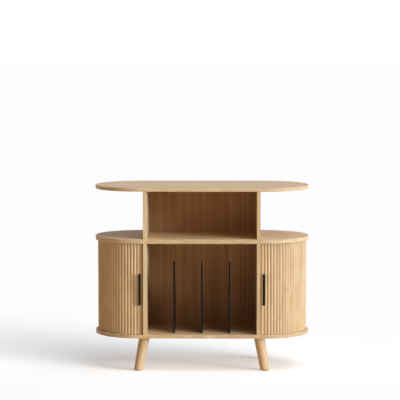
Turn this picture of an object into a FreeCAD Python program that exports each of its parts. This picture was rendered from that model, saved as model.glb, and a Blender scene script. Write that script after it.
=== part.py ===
"""Record cabinet with two round ends behind sliding fluted (tambour) doors.

Millimetres, +Z up.  The origin is on the floor under the middle of the cabinet, and the
front of the cabinet faces -Y.  Each round end turns about a vertical line through
(X_END, 0): angles there are 0 straight to the front and grow outwards, round the side,
to 180 at the back.  The right-hand end is modelled, and the left-hand end is its mirror.
Each door covers its end round the front and side, and slides round to the back.
"""
import FreeCAD, Part
import math
import os

Vector = FreeCAD.Vector

# ---- boards ---------------------------------------------------------------------------
BAY_W = 610.0             # clear width of the middle bays, between the uprights
UPRIGHT_T = 20.0
END_STRAIGHT = 15.0       # straight run of each end, from the upright to the round part
END_R = 260.0             # radius of the round ends of top, caps and bottom
LEG_HEIGHT = 188.0        # floor to the underside of the bottom panel
BOTTOM_T = 20.0
LOWER_BAY_H = 508.0
SHELF_T = 24.0            # the middle shelf and the two caps beside it
UPPER_BAY_H = 265.0
TOP_T = 20.0
EDGE_ROUND = 2.0          # rounded arris of the boards
FRONT_SETBACK = 1.0       # uprights and shelf behind the front edge of the top

# ---- bent end panels, fixed round the back of each end, inside the path of the door ----
PANEL_T = 6.0
PANEL_EDGE_ROUND = 2.5    # free front edge
PANEL_STOP_CLEAR = 1.8    # degrees from that edge to the leading rail when open
DOOR_CLEAR = 1.6          # end panel to the canvas that passes over it

# ---- back -----------------------------------------------------------------------------
BACK_T = 6.0
BACK_INSET = 12.6         # back panel in from the rear edge of the uprights
BACK_LET_IN = 5.0         # depth of its grooves in the uprights
BACK_FIT = 0.1            # slack in those grooves
CABLE_HOLE_R = 17.0
CABLE_SIDE = 95.0         # hole centre in from the left upright
CABLE_DROP = 26.0         # hole centre below the top panel
GROMMET_R = 21.0
GROMMET_BORE_R = 14.0
GROMMET_FLANGE_T = 2.0
GROMMET_FIT = 0.1

# ---- tambour doors --------------------------------------------------------------------
FLUTE_OVERHANG = 13.4     # boards stand this far past the crest of the flutes
FLUTE_PITCH = 18.0        # at that crest
SLAT_PAIRS = 11           # pairs of slats after the leading rail
SLAT_T = 8.0
SLAT_BASE_T = 3.8         # square base under the rounded flute
SLAT_GAP = 0.4            # between neighbours, at the canvas
DOOR_SIDE_GAP = 1.1       # leading rail to the upright when shut
DOOR_TOP_GAP = 2.5
DOOR_FOOT_GAP = 1.0
RAIL_FLUTES = 2
RAIL_T = 15.0
CANVAS_T = 1.0
CANVAS_LAP = 9.0          # canvas glued into a rebate of the leading rail
CANVAS_MARGIN = 6.0       # canvas short of the slats' ends

# ---- tongues on the slats, and the tracks that they run in ----------------------------
TONGUE_IN = 0.4           # from the back of the slat
TONGUE_T = 3.2
TONGUE_SHOULDER = 1.0     # slat wider than its tongue, each side
TRACK_CLEAR = 0.8         # beside the tongue
TRACK_DEPTH = 8.0
TRACK_FLOAT = 0.3         # under the lower tongues
TRACK_HEADROOM = 1.5      # over the upper tongues
TRACK_STOP = 178.0        # angle where it ends, just short of the straight run at the back
TRACK_END_CLEAR = 0.8     # degrees left after the last slat when open

# ---- handles --------------------------------------------------------------------------
HANDLE_W = 14.0
HANDLE_T = 8.0
HANDLE_L = 174.0
HANDLE_RISE = 253.0       # middle of the handle above the bottom panel
HANDLE_GAP = 12.0         # crest of the flutes to the back of the bar
HANDLE_ROUND = 1.5
POST_R = 4.0
POST_SPACING = 160.0
POST_FIT = 0.3
POST_SUNK = 1.0           # posts let into the rail, below the valley of the flutes
SCREW_R = 2.0
SCREW_FIT = 0.05
SCREW_BITE = 8.0          # thread inside the post
SCREW_HEAD_R = 3.8
SCREW_HEAD_T = 2.4
HEAD_FIT = 0.3
HEAD_SUNK = 3.0

# ---- shelves inside the ends ----------------------------------------------------------
INNER_SHELF_T = 16.0
INNER_SHELF_CLEAR = 3.0   # round edge of the shelf to the end panel
INNER_SHELF_FIT = 0.5     # shelf to upright
PIN_R = 2.5
PIN_IN = 10.0
PIN_OUT = 9.0
PIN_INSET = 56.0          # pins in from the front and back of the shelf
PIN_SEAT = 0.05
CLEAT_ANGLE = 108.0
CLEAT_W = 34.0
CLEAT_H = 20.0
CLEAT_REACH = 28.0        # under the shelf

# ---- record dividers ------------------------------------------------------------------
DIVIDER_COUNT = 3
DIVIDER_T = 8.0
DIVIDER_H = 401.0
DIVIDER_FALL = 38.0       # slope of the top edge, in degrees
DIVIDER_DEPTH = 270.0
DIVIDER_SETBACK = 58.0    # behind the front edge of the bottom panel
DIVIDER_NOSE_R = 30.0
DIVIDER_ROUND = 1.0       # eased edges
DIVIDER_LET_IN = 6.0      # depth of its groove in the bottom panel
DIVIDER_FIT = 0.1         # slack in that groove
DIVIDER_SCREW_INSET = 40.0
DIVIDER_SCREW_L = 28.0    # from below, through the bottom panel

# ---- legs -----------------------------------------------------------------------------
LEG_TOP_R = 30.0
LEG_FOOT_R = 25.0
LEG_INSET_X = 20.5        # leg tops in from the centres of the round ends
LEG_INSET_Y = 85.0        # and in from the front and back edges
LEG_SPLAY_X = 34.0        # foot further out than the top
LEG_SPLAY_Y = 25.0
LEG_FOOT_ROUND = 6.0
PAD_T = 3.0
PAD_R = 17.0
BOLT_R = 4.0
BOLT_FIT = 0.05
BOLT_UP = 15.0            # hanger bolt in the bottom panel
BOLT_DOWN = 45.0          # and in the leg

# ---- dowels and panel screws ----------------------------------------------------------
DOWEL_R = 4.0
DOWEL_FIT = 0.05
DOWEL_END_FIT = 0.2
DOWEL_IN_PANEL = 12.0
DOWEL_IN_UPRIGHT = 20.0
DOWEL_IN_SHELF = 22.0
DOWEL_INSET = 110.0       # dowels in from the front and back edges
PANEL_SCREW_COUNT = 3
PANEL_SCREW_MARGIN = 60.0
PANEL_SCREW_L = 22.0

# ---- levels, places and radii that follow ----------------------------------------------
Z_FLOOR = LEG_HEIGHT + BOTTOM_T
Z_MID = Z_FLOOR + LOWER_BAY_H
Z_CAP = Z_MID + SHELF_T
Z_TOP = Z_CAP + UPPER_BAY_H
X_BAY = BAY_W / 2
X_OUT = X_BAY + UPRIGHT_T
X_END = X_OUT + END_STRAIGHT
Y_FRONT = -END_R + FRONT_SETBACK

CREST_R = END_R - FLUTE_OVERHANG
SLAT_BACK_R = CREST_R - SLAT_T
VALLEY_R = SLAT_BACK_R + SLAT_BASE_T
RAIL_IN_R = CREST_R - RAIL_T
TONGUE_R0 = SLAT_BACK_R + TONGUE_IN
TONGUE_R1 = TONGUE_R0 + TONGUE_T
PITCH_DEG = math.degrees(FLUTE_PITCH / CREST_R)
SLAT_W = math.radians(PITCH_DEG) * SLAT_BACK_R - SLAT_GAP
DOOR_START = -math.degrees(math.asin((END_STRAIGHT - DOOR_SIDE_GAP) / CREST_R))
RAIL_END = DOOR_START + RAIL_FLUTES * PITCH_DEG
DOOR_TAIL = RAIL_END + 2 * SLAT_PAIRS * PITCH_DEG
OPEN_DEG = TRACK_STOP - TRACK_END_CLEAR - DOOR_TAIL

PANEL_R = SLAT_BACK_R - CANVAS_T - DOOR_CLEAR
PANEL_IN_R = PANEL_R - PANEL_T
PANEL_START = RAIL_END + OPEN_DEG + PANEL_STOP_CLEAR
Y_REAR = PANEL_IN_R
BACK_Y1 = Y_REAR - BACK_INSET
BACK_Y0 = BACK_Y1 - BACK_T

DOOR_Z0 = Z_FLOOR + DOOR_FOOT_GAP
DOOR_Z1 = Z_MID - DOOR_TOP_GAP
HANDLE_DEG = DOOR_START + PITCH_DEG
HANDLE_Z = Z_FLOOR + HANDLE_RISE
BAR_R0 = CREST_R + HANDLE_GAP
BAR_R1 = BAR_R0 + HANDLE_T
POST_R0 = VALLEY_R - POST_SUNK
INNER_SHELF_Z = Z_FLOOR + (LOWER_BAY_H - INNER_SHELF_T) / 2
INNER_SHELF_R = PANEL_IN_R - INNER_SHELF_CLEAR
PIN_Y = INNER_SHELF_R - PIN_INSET
LEG_TOP_X = X_END - LEG_INSET_X
LEG_TOP_Y = END_R - LEG_INSET_Y
DOWEL_Y = END_R - DOWEL_INSET

os.makedirs("parts", exist_ok=True)


# ---- helpers ----------------------------------------------------------------------------
def save(name, shape):
    shape.exportStep("parts/%s.step" % name)


def group(solids):
    return Part.makeCompound(solids)


def block(x0, y0, z0, x1, y1, z1):
    return Part.makeBox(x1 - x0, y1 - y0, z1 - z0, Vector(x0, y0, z0))


def rod(radius, start, end):
    along = end - start
    return Part.makeCylinder(radius, along.Length, start, along)


def raised(wire, z0, z1):
    """A closed flat outline at z = 0, raised into a board between two levels."""
    board = Part.Face(wire).extrude(Vector(0, 0, z1 - z0))
    board.translate(Vector(0, 0, z0))
    return board


def line(a, b):
    return Part.LineSegment(a, b).toShape()


def arc(a, middle, b):
    return Part.Arc(a, middle, b).toShape()


def at(radius, degrees):
    """A point of the right-hand end, at a radius and an angle from the front."""
    turn = math.radians(degrees)
    return Vector(X_END + radius * math.sin(turn), -radius * math.cos(turn), 0)


def turned(shape, degrees):
    """A shape made at the front of the right-hand end, moved round it."""
    moved = shape.copy()
    moved.rotate(Vector(X_END, 0, 0), Vector(0, 0, 1), degrees)
    return moved


def mirrored(shape):
    return shape.mirror(Vector(0, 0, 0), Vector(1, 0, 0))


def sector(r0, r1, deg0, deg1, z0, z1):
    """A curved strip of the right-hand end between two radii and two angles."""
    middle = (deg0 + deg1) / 2
    edges = [
        arc(at(r1, deg0), at(r1, middle), at(r1, deg1)),
        line(at(r1, deg1), at(r0, deg1)),
        arc(at(r0, deg1), at(r0, middle), at(r0, deg0)),
        line(at(r0, deg0), at(r1, deg0)),
    ]
    return raised(Part.Wire(edges), z0, z1)


def stadium(radius):
    """The outline with two straight sides and two half-round ends."""
    front_left = Vector(-X_END, -radius, 0)
    front_right = Vector(X_END, -radius, 0)
    back_right = Vector(X_END, radius, 0)
    back_left = Vector(-X_END, radius, 0)
    return Part.Wire([
        line(front_left, front_right),
        arc(front_right, Vector(X_END + radius, 0, 0), back_right),
        line(back_right, back_left),
        arc(back_left, Vector(-X_END - radius, 0, 0), front_left),
    ])


def half_moon(x0, radius):
    """The right-hand end of a stadium, cut off straight at x0."""
    front = Vector(X_END, -radius, 0)
    back = Vector(X_END, radius, 0)
    return Part.Wire([
        line(Vector(x0, -radius, 0), front),
        arc(front, Vector(X_END + radius, 0, 0), back),
        line(back, Vector(x0, radius, 0)),
        line(Vector(x0, radius, 0), Vector(x0, -radius, 0)),
    ])


def soften(board, z0, z1, size, keep_x=None):
    """Rounds the long arrises of a board at both faces, but not where it butts at keep_x."""
    edges = []
    for edge in board.Edges:
        box = edge.BoundBox
        level = box.ZLength < 0.01 and min(abs(box.ZMin - z0), abs(box.ZMin - z1)) < 0.01
        butts = keep_x is not None and box.XLength < 0.01 and abs(box.XMin - keep_x) < 0.01
        if level and not butts:
            edges.append(edge)
    return board.makeFillet(size, edges)


def both_sides(shape):
    return [shape, mirrored(shape)]


# ---- dowels: where the boards are pinned together ---------------------------------------
def dowel_lines():
    """Start and end of each dowel: upright to bottom and top, and shelf through to cap."""
    runs = []
    x_middle = X_BAY + UPRIGHT_T / 2
    z_shelf = Z_MID + SHELF_T / 2
    for x in (-x_middle, x_middle):
        outward = math.copysign(1.0, x)
        for y in (-DOWEL_Y, DOWEL_Y):
            runs.append((Vector(x, y, Z_FLOOR - DOWEL_IN_PANEL), Vector(x, y, Z_FLOOR + DOWEL_IN_UPRIGHT)))
            runs.append((Vector(x, y, Z_TOP - DOWEL_IN_UPRIGHT), Vector(x, y, Z_TOP + DOWEL_IN_PANEL)))
            shelf_end = Vector(outward * (X_BAY - DOWEL_IN_SHELF), y, z_shelf)
            cap_end = Vector(outward * (X_OUT + DOWEL_IN_SHELF), y, z_shelf)
            runs.append((shelf_end, cap_end))
    return runs


def dowel(start, end, radius, spare):
    along = end - start
    along.normalize()
    return rod(radius, start - along * spare, end + along * spare)


DOWELS = [dowel(a, b, DOWEL_R, 0.0) for a, b in dowel_lines()]
DOWEL_HOLES = group([dowel(a, b, DOWEL_R + DOWEL_FIT, DOWEL_END_FIT) for a, b in dowel_lines()])
save("dowels", group(DOWELS))


# ---- legs: turned, tapered and splayed, each on a hanger bolt ---------------------------
def leg_axis(side, end):
    """Foot and top centre of one leg; side and end are -1 or 1."""
    foot = Vector(side * (LEG_TOP_X + LEG_SPLAY_X), end * (LEG_TOP_Y + LEG_SPLAY_Y), 0)
    top = Vector(side * LEG_TOP_X, end * LEG_TOP_Y, LEG_HEIGHT)
    return foot, top


def hanger_bolt(side, end, radius, spare):
    foot, top = leg_axis(side, end)
    along = top - foot
    along.normalize()
    return rod(radius, top - along * (BOLT_DOWN + spare), top + along * (BOLT_UP + spare))


def leg(side, end):
    foot, top = leg_axis(side, end)
    along = top - foot
    length = along.Length
    along.normalize()
    overrun = LEG_TOP_R
    taper = (LEG_TOP_R - LEG_FOOT_R) / length
    cone = Part.makeCone(
        LEG_FOOT_R - taper * overrun,
        LEG_TOP_R + taper * overrun,
        length + 2 * overrun,
        foot - along * overrun,
        along,
    )
    reach = 2 * (LEG_TOP_X + LEG_SPLAY_X + LEG_TOP_R)
    shank = cone.common(block(-reach, -reach, PAD_T, reach, reach, LEG_HEIGHT))
    rim = [edge for edge in shank.Edges if edge.BoundBox.ZMax < PAD_T + 0.01]
    shank = shank.makeFillet(LEG_FOOT_ROUND, rim)
    return shank.cut(hanger_bolt(side, end, BOLT_R + BOLT_FIT, DOWEL_END_FIT))


LEG_PLACES = [
    ("front_left_leg", -1, -1),
    ("front_right_leg", 1, -1),
    ("rear_left_leg", -1, 1),
    ("rear_right_leg", 1, 1),
]
for leg_name, leg_side, leg_end in LEG_PLACES:
    save(leg_name, leg(leg_side, leg_end))

LEG_BOLTS = [hanger_bolt(side, end, BOLT_R, 0.0) for _, side, end in LEG_PLACES]
BOLT_HOLES = group([hanger_bolt(side, end, BOLT_R + BOLT_FIT, DOWEL_END_FIT) for _, side, end in LEG_PLACES])
save("leg_bolts", group(LEG_BOLTS))


def foot_pad(side, end):
    foot, top = leg_axis(side, end)
    return Part.makeCylinder(PAD_R, PAD_T, foot)


save("foot_pads", group([foot_pad(side, end) for _, side, end in LEG_PLACES]))


# ---- screws with a pan head, for the dividers and the end panels ------------------------
def pan_screw(seat, inward, length):
    """A screw whose head lies on the seat and whose shank goes inward from it."""
    shank = rod(SCREW_R, seat, seat + inward * length)
    head = rod(SCREW_HEAD_R, seat - inward * SCREW_HEAD_T, seat)
    return shank.fuse(head).removeSplitter()


def pilot(seat, inward, length):
    return rod(SCREW_R + SCREW_FIT, seat, seat + inward * (length + DOWEL_END_FIT))


# ---- record dividers: black boards let into the bottom panel and screwed from below -----
DIVIDER_PITCH = (BAY_W + DIVIDER_T) / (DIVIDER_COUNT + 1)
DIVIDER_Y0 = -END_R + DIVIDER_SETBACK
DIVIDER_Y1 = DIVIDER_Y0 + DIVIDER_DEPTH
DIVIDER_Z0 = Z_FLOOR - DIVIDER_LET_IN
UP = Vector(0, 0, 1)


def divider_x(index):
    """Middle of one board; the compartments between the boards are equal."""
    return -X_BAY - DIVIDER_T / 2 + DIVIDER_PITCH * (index + 1)


def divider_seats(index):
    """Where its screws bear on the underside of the bottom panel."""
    ends = (DIVIDER_Y0 + DIVIDER_SCREW_INSET, DIVIDER_Y1 - DIVIDER_SCREW_INSET)
    return [Vector(divider_x(index), y, LEG_HEIGHT) for y in ends]


def divider(index):
    """A board, high at the front with a rounded nose and falling to the back."""
    x0 = divider_x(index) - DIVIDER_T / 2
    fall = math.radians(DIVIDER_FALL)
    nose_y = DIVIDER_Y0 + DIVIDER_NOSE_R
    nose_z = Z_FLOOR + DIVIDER_H - DIVIDER_NOSE_R
    nose_low = Vector(x0, DIVIDER_Y0, nose_z)
    nose_top = Vector(x0, nose_y, nose_z + DIVIDER_NOSE_R)
    slope_y = nose_y + DIVIDER_NOSE_R * math.sin(fall)
    slope_z = nose_z + DIVIDER_NOSE_R * math.cos(fall)
    slope_top = Vector(x0, slope_y, slope_z)
    slope_end = Vector(x0, DIVIDER_Y1, slope_z - (DIVIDER_Y1 - slope_y) * math.tan(fall))
    rear_foot = Vector(x0, DIVIDER_Y1, DIVIDER_Z0)
    front_foot = Vector(x0, DIVIDER_Y0, DIVIDER_Z0)
    wire = Part.Wire([
        line(front_foot, nose_low),
        arc(nose_low, nose_top, slope_top),
        line(slope_top, slope_end),
        line(slope_end, rear_foot),
        line(rear_foot, front_foot),
    ])
    board = Part.Face(wire).extrude(Vector(DIVIDER_T, 0, 0))
    eased = []
    for edge in board.Edges:
        box = edge.BoundBox
        if box.XLength < 0.01 and box.ZMax > Z_FLOOR:
            eased.append(edge)
    board = board.makeFillet(DIVIDER_ROUND, eased)
    return board.cut(group([pilot(seat, UP, DIVIDER_SCREW_L) for seat in divider_seats(index)]))


def divider_groove(index):
    half = DIVIDER_T / 2 + DIVIDER_FIT
    x = divider_x(index)
    return block(
        x - half, DIVIDER_Y0 - DIVIDER_FIT, DIVIDER_Z0, x + half, DIVIDER_Y1 + DIVIDER_FIT, Z_FLOOR + 1.0
    )


DIVIDER_NAMES = ["record_divider_%d" % (index + 1) for index in range(DIVIDER_COUNT)]
for divider_index, divider_name in enumerate(DIVIDER_NAMES):
    save(divider_name, divider(divider_index))

DIVIDER_SEATS = [seat for index in range(DIVIDER_COUNT) for seat in divider_seats(index)]
save("divider_screws", group([pan_screw(seat, UP, DIVIDER_SCREW_L) for seat in DIVIDER_SEATS]))
DIVIDER_PILOTS = group([pilot(seat, UP, DIVIDER_SCREW_L) for seat in DIVIDER_SEATS])
DIVIDER_GROOVES = group([divider_groove(index) for index in range(DIVIDER_COUNT)])


# ---- bottom panel and top panel ---------------------------------------------------------
TRACK_START = -math.degrees(math.asin((END_STRAIGHT - DOOR_SIDE_GAP / 2) / (TONGUE_R1 + TRACK_CLEAR)))


def track(z0, z1):
    return sector(TONGUE_R0 - TRACK_CLEAR, TONGUE_R1 + TRACK_CLEAR, TRACK_START, TRACK_STOP, z0, z1)


bottom = soften(raised(stadium(END_R), LEG_HEIGHT, Z_FLOOR), LEG_HEIGHT, Z_FLOOR, EDGE_ROUND)
bottom = bottom.cut(group(both_sides(track(Z_FLOOR - TRACK_DEPTH, Z_FLOOR))))
bottom = bottom.cut(BOLT_HOLES).cut(DOWEL_HOLES).cut(DIVIDER_GROOVES).cut(DIVIDER_PILOTS)
save("bottom_panel", bottom)

Z_CROWN = Z_TOP + TOP_T
top_board = soften(raised(stadium(END_R), Z_TOP, Z_CROWN), Z_TOP, Z_CROWN, EDGE_ROUND)
save("top_panel", top_board.cut(DOWEL_HOLES))

# ---- bent end panels, screwed to the rear edge of the uprights --------------------------
PANEL_SCREW_X = X_BAY + UPRIGHT_T / 2
PANEL_SCREW_STEP = (LOWER_BAY_H - 2 * PANEL_SCREW_MARGIN) / (PANEL_SCREW_COUNT - 1)
FORWARD = Vector(0, -1, 0)


def panel_seats():
    """Seats of the screws on the back of the right-hand end panel."""
    heights = [Z_FLOOR + PANEL_SCREW_MARGIN + PANEL_SCREW_STEP * k for k in range(PANEL_SCREW_COUNT)]
    return [Vector(PANEL_SCREW_X, PANEL_R, z) for z in heights]


PANEL_SCREWS = group([pan_screw(seat, FORWARD, PANEL_SCREW_L) for seat in panel_seats()])
PANEL_PILOTS = group([pilot(seat, FORWARD, PANEL_SCREW_L) for seat in panel_seats()])


def end_panel():
    middle = (PANEL_START + 180.0) / 2
    outer_rear = Vector(X_BAY, PANEL_R, 0)
    inner_rear = Vector(X_BAY, PANEL_IN_R, 0)
    wire = Part.Wire([
        arc(at(PANEL_R, PANEL_START), at(PANEL_R, middle), at(PANEL_R, 180.0)),
        line(at(PANEL_R, 180.0), outer_rear),
        line(outer_rear, inner_rear),
        line(inner_rear, at(PANEL_IN_R, 180.0)),
        arc(at(PANEL_IN_R, 180.0), at(PANEL_IN_R, middle), at(PANEL_IN_R, PANEL_START)),
        line(at(PANEL_IN_R, PANEL_START), at(PANEL_R, PANEL_START)),
    ])
    panel = raised(wire, Z_FLOOR, Z_MID)
    nose = at(PANEL_R, PANEL_START)
    edges = []
    for edge in panel.Edges:
        box = edge.BoundBox
        upright_edge = box.ZLength > LOWER_BAY_H - 0.1
        if upright_edge and abs(box.XMin - nose.x) < 0.01 and abs(box.YMin - nose.y) < 0.01:
            edges.append(edge)
    return panel.makeFillet(PANEL_EDGE_ROUND, edges).cut(PANEL_PILOTS)


right_end_panel = end_panel()
save("right_end_panel", right_end_panel)
save("left_end_panel", mirrored(right_end_panel))
save("end_panel_screws", group(both_sides(PANEL_SCREWS)))


# ---- uprights, with a groove for the back and holes for the inner shelf's pins ----------
def pin(y, radius, spare):
    z = INNER_SHELF_Z - PIN_SEAT - PIN_R
    return rod(radius, Vector(X_OUT - PIN_IN - spare, y, z), Vector(X_OUT + PIN_OUT, y, z))


def upright():
    board = block(X_BAY, Y_FRONT, Z_FLOOR, X_OUT, Y_REAR, Z_TOP)
    front_edges = []
    for edge in board.Edges:
        box = edge.BoundBox
        if box.ZLength > UPPER_BAY_H and abs(box.YMax - Y_FRONT) < 0.01:
            front_edges.append(edge)
    board = board.makeFillet(EDGE_ROUND / 2, front_edges)
    groove = block(
        X_BAY, BACK_Y0 - BACK_FIT, Z_FLOOR, X_BAY + BACK_LET_IN, BACK_Y1 + BACK_FIT, Z_TOP
    )
    pin_holes = [pin(y, PIN_R + DOWEL_FIT, DOWEL_END_FIT) for y in (-PIN_Y, PIN_Y)]
    return board.cut(groove).cut(group(pin_holes)).cut(PANEL_PILOTS)


right_upright = upright()
save("right_upright", right_upright.cut(DOWEL_HOLES))
save("left_upright", mirrored(right_upright).cut(DOWEL_HOLES))

# ---- middle shelf and the cap over each end ---------------------------------------------
shelf = block(-X_BAY, Y_FRONT, Z_MID, X_BAY, BACK_Y0, Z_CAP)
shelf_front = []
for front_edge in shelf.Edges:
    if front_edge.BoundBox.YMax < Y_FRONT + 0.01 and front_edge.BoundBox.XLength > 1.0:
        shelf_front.append(front_edge)
shelf = shelf.makeFillet(EDGE_ROUND / 2, shelf_front)
save("middle_shelf", shelf.cut(DOWEL_HOLES))

cap = soften(raised(half_moon(X_OUT, END_R), Z_MID, Z_CAP), Z_MID, Z_CAP, EDGE_ROUND, X_OUT)
cap = cap.cut(track(Z_MID, Z_MID + TRACK_DEPTH))
save("right_cap_panel", cap.cut(DOWEL_HOLES))
save("left_cap_panel", mirrored(cap).cut(DOWEL_HOLES))

# ---- back panel and the grommet of its cable hole ---------------------------------------
CABLE_X = -X_BAY + CABLE_SIDE
CABLE_Z = Z_TOP - CABLE_DROP
back_half_w = X_BAY + BACK_LET_IN - BACK_FIT
back = block(-back_half_w, BACK_Y0, Z_FLOOR, back_half_w, BACK_Y1, Z_TOP)


def cable_rod(radius, y0, y1):
    return rod(radius, Vector(CABLE_X, y0, CABLE_Z), Vector(CABLE_X, y1, CABLE_Z))


save("back_panel", back.cut(cable_rod(CABLE_HOLE_R, BACK_Y0 - 1.0, BACK_Y1 + 1.0)))

sleeve = cable_rod(CABLE_HOLE_R - GROMMET_FIT, BACK_Y0, BACK_Y1)
flange = cable_rod(GROMMET_R, BACK_Y0 - GROMMET_FLANGE_T, BACK_Y0)
lead_hole = cable_rod(GROMMET_BORE_R, BACK_Y0 - 2 * GROMMET_FLANGE_T, BACK_Y1 + 1.0)
save("cable_grommet", sleeve.fuse(flange).removeSplitter().cut(lead_hole))


# ---- half-moon shelf inside each end, on two pins and a cleat ---------------------------
inner_shelf = raised(
    half_moon(X_OUT + INNER_SHELF_FIT, INNER_SHELF_R), INNER_SHELF_Z, INNER_SHELF_Z + INNER_SHELF_T
)
save("right_inner_shelf", inner_shelf)
save("left_inner_shelf", mirrored(inner_shelf))

pins = group([pin(y, PIN_R, 0.0) for y in (-PIN_Y, PIN_Y)])
save("shelf_pins", group(both_sides(pins)))


def cleat():
    """A block glued inside the end panel, with the shelf's round edge resting on it."""
    billet = block(
        X_END - CLEAT_W / 2,
        -PANEL_R,
        INNER_SHELF_Z - CLEAT_H,
        X_END + CLEAT_W / 2,
        -INNER_SHELF_R + CLEAT_REACH,
        INNER_SHELF_Z,
    )
    inside = Part.makeCylinder(PANEL_IN_R, Z_MID, Vector(X_END, 0, 0))
    return turned(billet.common(inside), CLEAT_ANGLE)


save("shelf_cleats", group(both_sides(cleat())))


# ---- slats: straight-grained wood, glued to the canvas, with a tongue at each end -------
def flute(z0, z1):
    """One slat without its tongues, at the front of the end: flat back, round face."""
    half = SLAT_W / 2
    back_y = -math.sqrt(SLAT_BACK_R ** 2 - half ** 2)
    left_back = Vector(X_END - half, back_y, 0)
    right_back = Vector(X_END + half, back_y, 0)
    left_base = Vector(X_END - half, -VALLEY_R, 0)
    right_base = Vector(X_END + half, -VALLEY_R, 0)
    wire = Part.Wire([
        arc(left_back, Vector(X_END, -SLAT_BACK_R, 0), right_back),
        line(right_back, right_base),
        arc(right_base, Vector(X_END, -CREST_R, 0), left_base),
        line(left_base, left_back),
    ])
    return raised(wire, z0, z1)


def tongue(z0, z1):
    half = SLAT_W / 2 - TONGUE_SHOULDER
    return block(X_END - half, -TONGUE_R1, z0, X_END + half, -TONGUE_R0, z1)


TONGUE_Z0 = Z_FLOOR - TRACK_DEPTH + TRACK_FLOAT
TONGUE_Z1 = Z_MID + TRACK_DEPTH - TRACK_HEADROOM


def slat():
    body = flute(DOOR_Z0, DOOR_Z1)
    low = tongue(TONGUE_Z0, DOOR_Z0)
    high = tongue(DOOR_Z1, TONGUE_Z1)
    return body.fuse([low, high]).removeSplitter()


SLAT = slat()
for pair_index in range(SLAT_PAIRS):
    first_deg = RAIL_END + PITCH_DEG * (2 * pair_index + 0.5)
    pair = group([turned(SLAT, first_deg), turned(SLAT, first_deg + PITCH_DEG)])
    save("right_slat_pair_%02d" % (pair_index + 1), pair)
    save("left_slat_pair_%02d" % (pair_index + 1), mirrored(pair))

# ---- canvas that the slats are glued to, lapped into the leading rail -------------------
LAP_DEG = RAIL_END - math.degrees(CANVAS_LAP / SLAT_BACK_R)
TAIL_TRIM = math.degrees(SLAT_GAP / SLAT_BACK_R)
canvas = sector(
    SLAT_BACK_R - CANVAS_T,
    SLAT_BACK_R,
    LAP_DEG,
    DOOR_TAIL - TAIL_TRIM,
    DOOR_Z0 + CANVAS_MARGIN,
    DOOR_Z1 - CANVAS_MARGIN,
)
save("right_door_canvas", canvas)
save("left_door_canvas", mirrored(canvas))


# ---- handles: a flat bar on two round posts, screwed from inside the rail ---------------
POST_HEIGHTS = (HANDLE_Z - POST_SPACING / 2, HANDLE_Z + POST_SPACING / 2)


def post(radius, r0, r1, z):
    return rod(radius, Vector(X_END, -r0, z), Vector(X_END, -r1, z))


def handle():
    bar = block(
        X_END - HANDLE_W / 2,
        -BAR_R1,
        HANDLE_Z - HANDLE_L / 2,
        X_END + HANDLE_W / 2,
        -BAR_R0,
        HANDLE_Z + HANDLE_L / 2,
    )
    bar = bar.makeFillet(HANDLE_ROUND, bar.Edges)
    posts = [post(POST_R, POST_R0, BAR_R0 + HANDLE_T / 2, z) for z in POST_HEIGHTS]
    thread_end = POST_R0 + SCREW_BITE + DOWEL_END_FIT
    threads = [post(SCREW_R + SCREW_FIT, POST_R0, thread_end, z) for z in POST_HEIGHTS]
    return bar.fuse(posts).removeSplitter().cut(group(threads))


def handle_screws():
    seats = [Vector(X_END, -(RAIL_IN_R + HEAD_SUNK), z) for z in POST_HEIGHTS]
    length = POST_R0 + SCREW_BITE - RAIL_IN_R - HEAD_SUNK
    return group([pan_screw(seat, FORWARD, length) for seat in seats])


right_handle = turned(handle(), HANDLE_DEG)
right_handle_screws = turned(handle_screws(), HANDLE_DEG)
save("right_handle", right_handle)
save("left_handle", mirrored(right_handle))
save("right_handle_screws", right_handle_screws)
save("left_handle_screws", mirrored(right_handle_screws))


# ---- leading rail: two flutes wide, thick enough to take the handle ---------------------
RAIL_SIDE = RAIL_END - TAIL_TRIM
TONGUE_TRIM = math.degrees(TONGUE_SHOULDER / SLAT_BACK_R)


def rail_outline():
    edges = [
        arc(at(RAIL_IN_R, DOOR_START), at(RAIL_IN_R, (DOOR_START + LAP_DEG) / 2), at(RAIL_IN_R, LAP_DEG)),
        line(at(RAIL_IN_R, LAP_DEG), at(SLAT_BACK_R, LAP_DEG)),
        arc(at(SLAT_BACK_R, LAP_DEG), at(SLAT_BACK_R, (LAP_DEG + RAIL_SIDE) / 2), at(SLAT_BACK_R, RAIL_SIDE)),
        line(at(SLAT_BACK_R, RAIL_SIDE), at(VALLEY_R, RAIL_SIDE)),
    ]
    flute_deg = (RAIL_SIDE - DOOR_START) / RAIL_FLUTES
    for k in range(RAIL_FLUTES):
        high = RAIL_SIDE - flute_deg * k
        low = RAIL_SIDE - flute_deg * (k + 1)
        edges.append(arc(at(VALLEY_R, high), at(CREST_R, (high + low) / 2), at(VALLEY_R, low)))
    edges.append(line(at(VALLEY_R, DOOR_START), at(RAIL_IN_R, DOOR_START)))
    return Part.Wire(edges)


def rail():
    body = raised(rail_outline(), DOOR_Z0, DOOR_Z1)
    deg0 = DOOR_START + TONGUE_TRIM
    deg1 = RAIL_SIDE - TONGUE_TRIM
    low = sector(TONGUE_R0, TONGUE_R1, deg0, deg1, TONGUE_Z0, DOOR_Z0)
    high = sector(TONGUE_R0, TONGUE_R1, deg0, deg1, DOOR_Z1, TONGUE_Z1)
    sockets = []
    for z in POST_HEIGHTS:
        sockets.append(post(POST_R + POST_FIT, POST_R0, CREST_R + 1.0, z))
        sockets.append(post(SCREW_R + SCREW_FIT, RAIL_IN_R - 1.0, VALLEY_R + 1.0, z))
        sockets.append(post(SCREW_HEAD_R + HEAD_FIT, RAIL_IN_R - 1.0, RAIL_IN_R + HEAD_SUNK, z))
    solid = body
    for socket in sockets:
        solid = solid.cut(turned(socket, HANDLE_DEG))
    return solid.fuse([low, high])


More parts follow.
